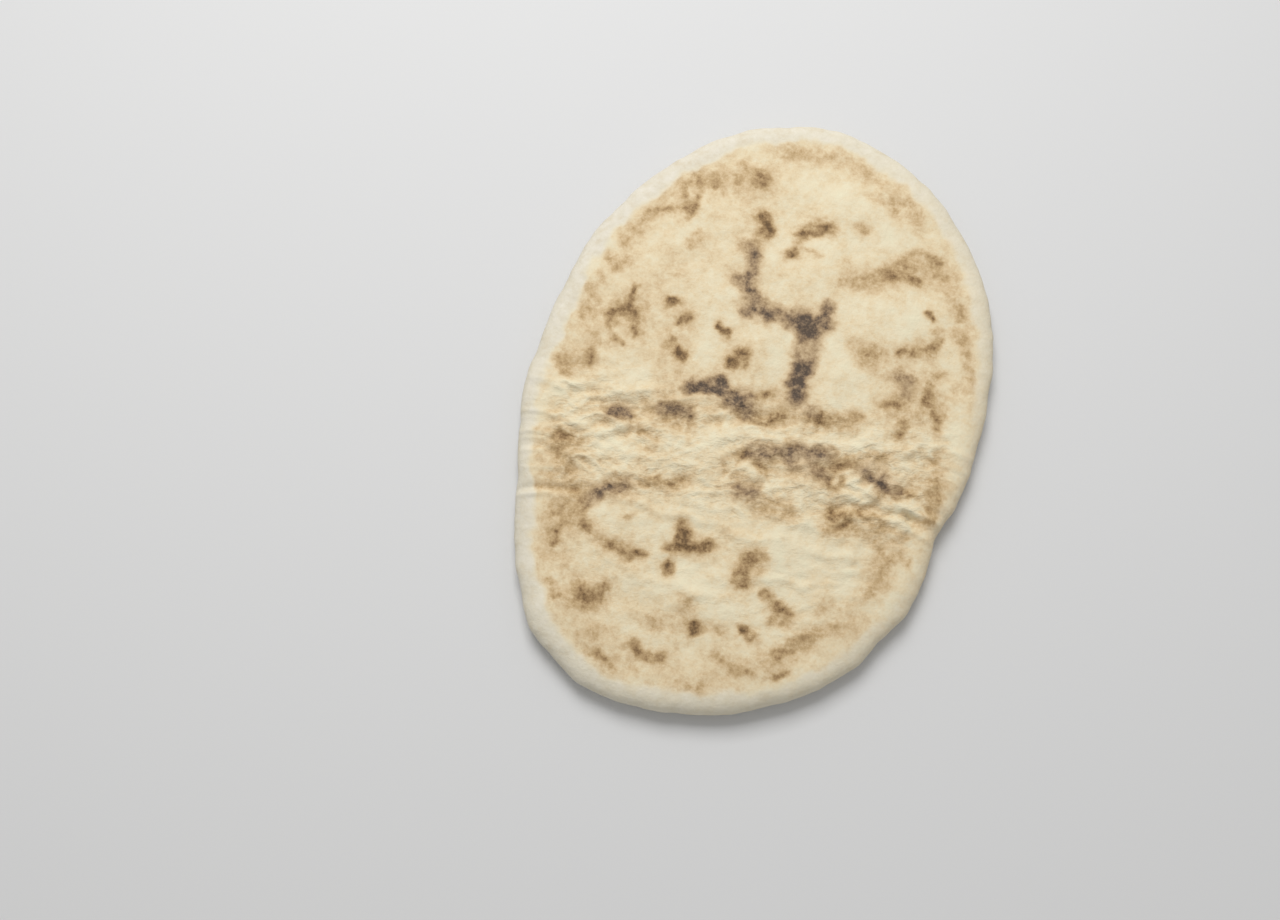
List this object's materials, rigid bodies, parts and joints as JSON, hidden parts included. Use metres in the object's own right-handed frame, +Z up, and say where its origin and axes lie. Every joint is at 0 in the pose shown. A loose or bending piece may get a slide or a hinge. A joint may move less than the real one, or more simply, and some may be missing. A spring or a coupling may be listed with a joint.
{
  "type": "pita bread",
  "caption": "Soft oval flatbread lying flat, with a smooth pale rolled edge, a creased face toasted in brown and charred patches, and a flat underside.",
  "frame": {"origin": "middle of the length and width, on the flat underside", "axes": "+Y along the bread's longer direction, +X across it, +Z up through its thickness, out of the toasted face"},
  "size_m": [0.132, 0.1876, 0.0105],
  "materials": {
    "crust": "matt baked dough, cream with brown and charred toast marks"
  },
  "bodies": {
    "root": {"pita_bread": "crust"}
  },
  "joints": []
}
